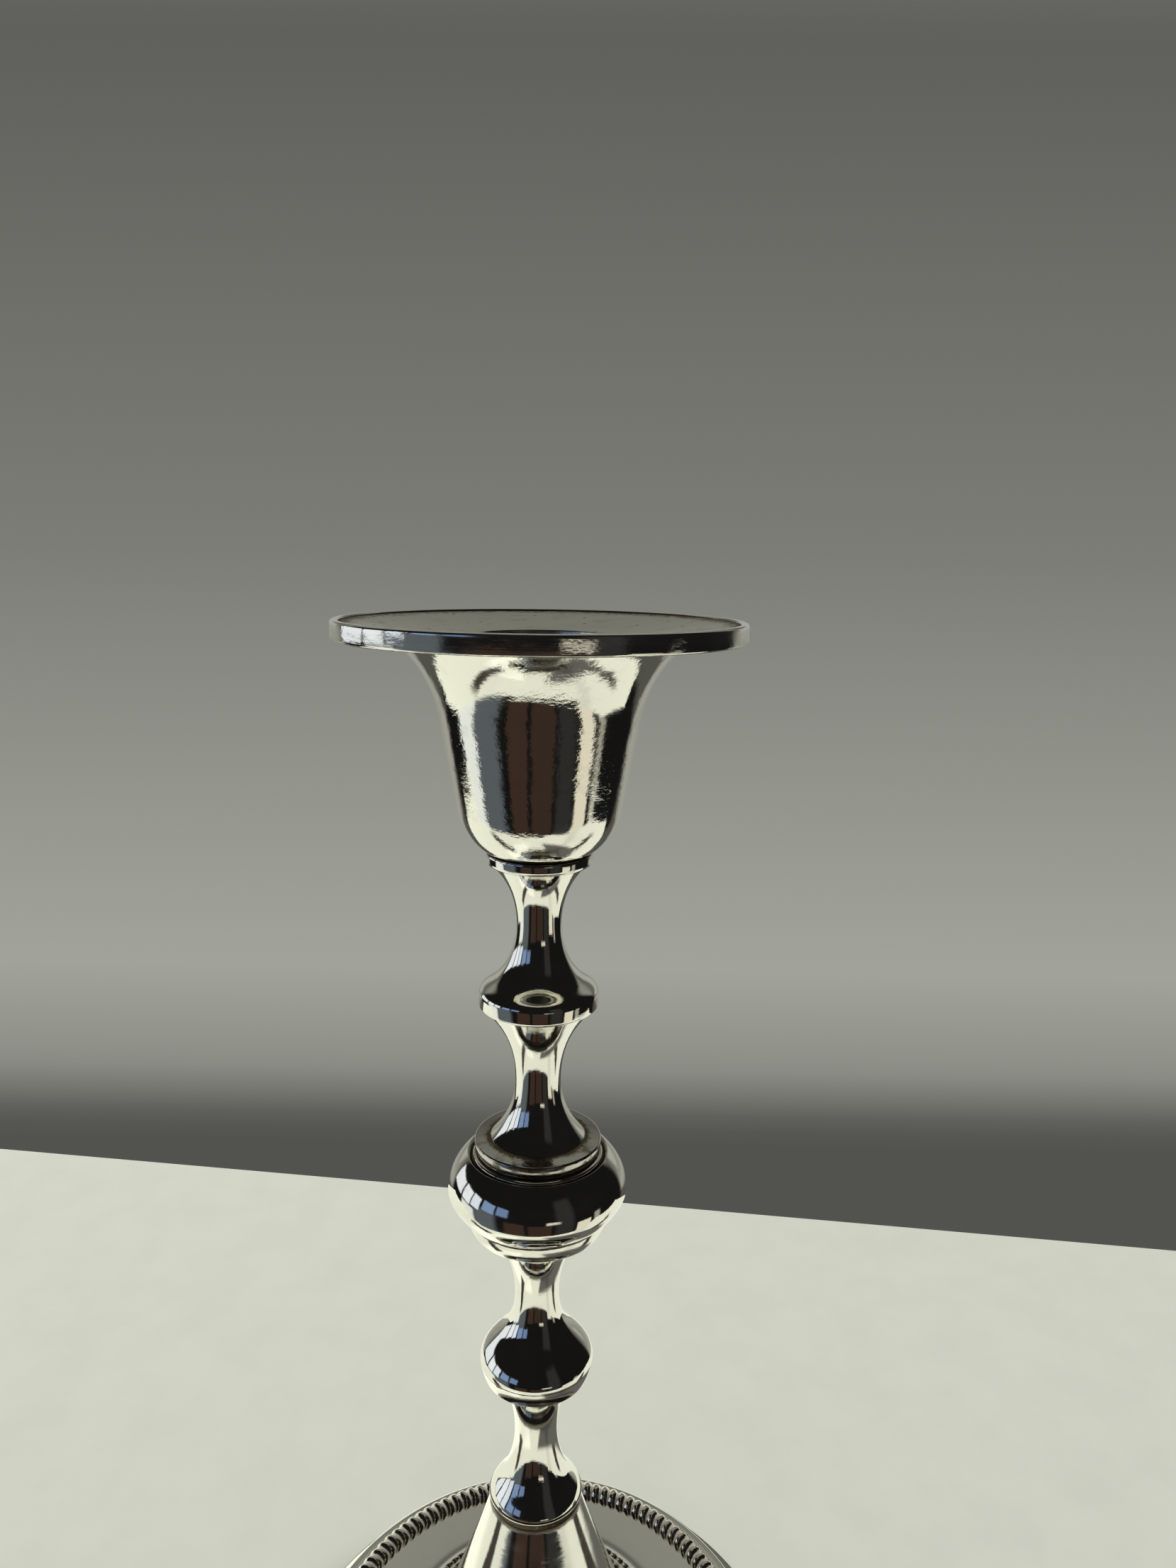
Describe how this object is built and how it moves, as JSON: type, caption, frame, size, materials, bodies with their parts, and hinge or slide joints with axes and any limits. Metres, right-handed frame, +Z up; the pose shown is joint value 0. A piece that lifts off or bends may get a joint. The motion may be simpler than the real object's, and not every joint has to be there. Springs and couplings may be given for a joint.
{
  "type": "candlestick",
  "caption": "Silver-plated table candlestick with a flat drip-pan nozzle that lifts out of a bell cup, a turned baluster stem and a round weighted foot with a gadroon border.",
  "frame": {"origin": "middle of the underside, on the surface that the candlestick stands on", "axes": "+Z up along the stem's axis of turning, +X and +Y across the round foot"},
  "size_m": [0.1068, 0.1068, 0.2232],
  "materials": {
    "silver_plate": "old silver plate, polished, finely scratched, brown tarnish in the crevices",
    "loading": "poured loading compound, dull",
    "cover_plate": "plain sheet",
    "felt": "green baize",
    "steel": "plain steel"
  },
  "bodies": {
    "stick": {"socket_cup": "silver_plate", "socket_collar": "silver_plate", "upper_baluster": "silver_plate", "middle_baluster": "silver_plate", "knop_cap": "silver_plate", "knop_bead": "silver_plate", "central_knop": "silver_plate", "knop_seat": "silver_plate", "lower_baluster": "silver_plate", "acorn_band": "silver_plate", "bulb_stem": "silver_plate", "bulb_bead": "silver_plate", "foot_dome": "silver_plate", "gadroon_border": "silver_plate", "foot_skirt": "silver_plate", "foot_wire": "silver_plate", "weight": "loading", "base_cover": "cover_plate", "felt_pad": "felt", "tie_rod": "steel", "rod_washer_top": "steel", "rod_nut_top": "steel", "rod_washer_base": "steel", "rod_nut_base": "steel"},
    "nozzle": {"drip_pan": "silver_plate", "pan_rim": "silver_plate", "candle_tube": "silver_plate"}
  },
  "joints": [
    {"name": "nozzle_lift", "type": "slide", "parent": "stick", "child": "nozzle", "axis": [0, 0, 1], "range_m": [0, 0.03]}
  ]
}
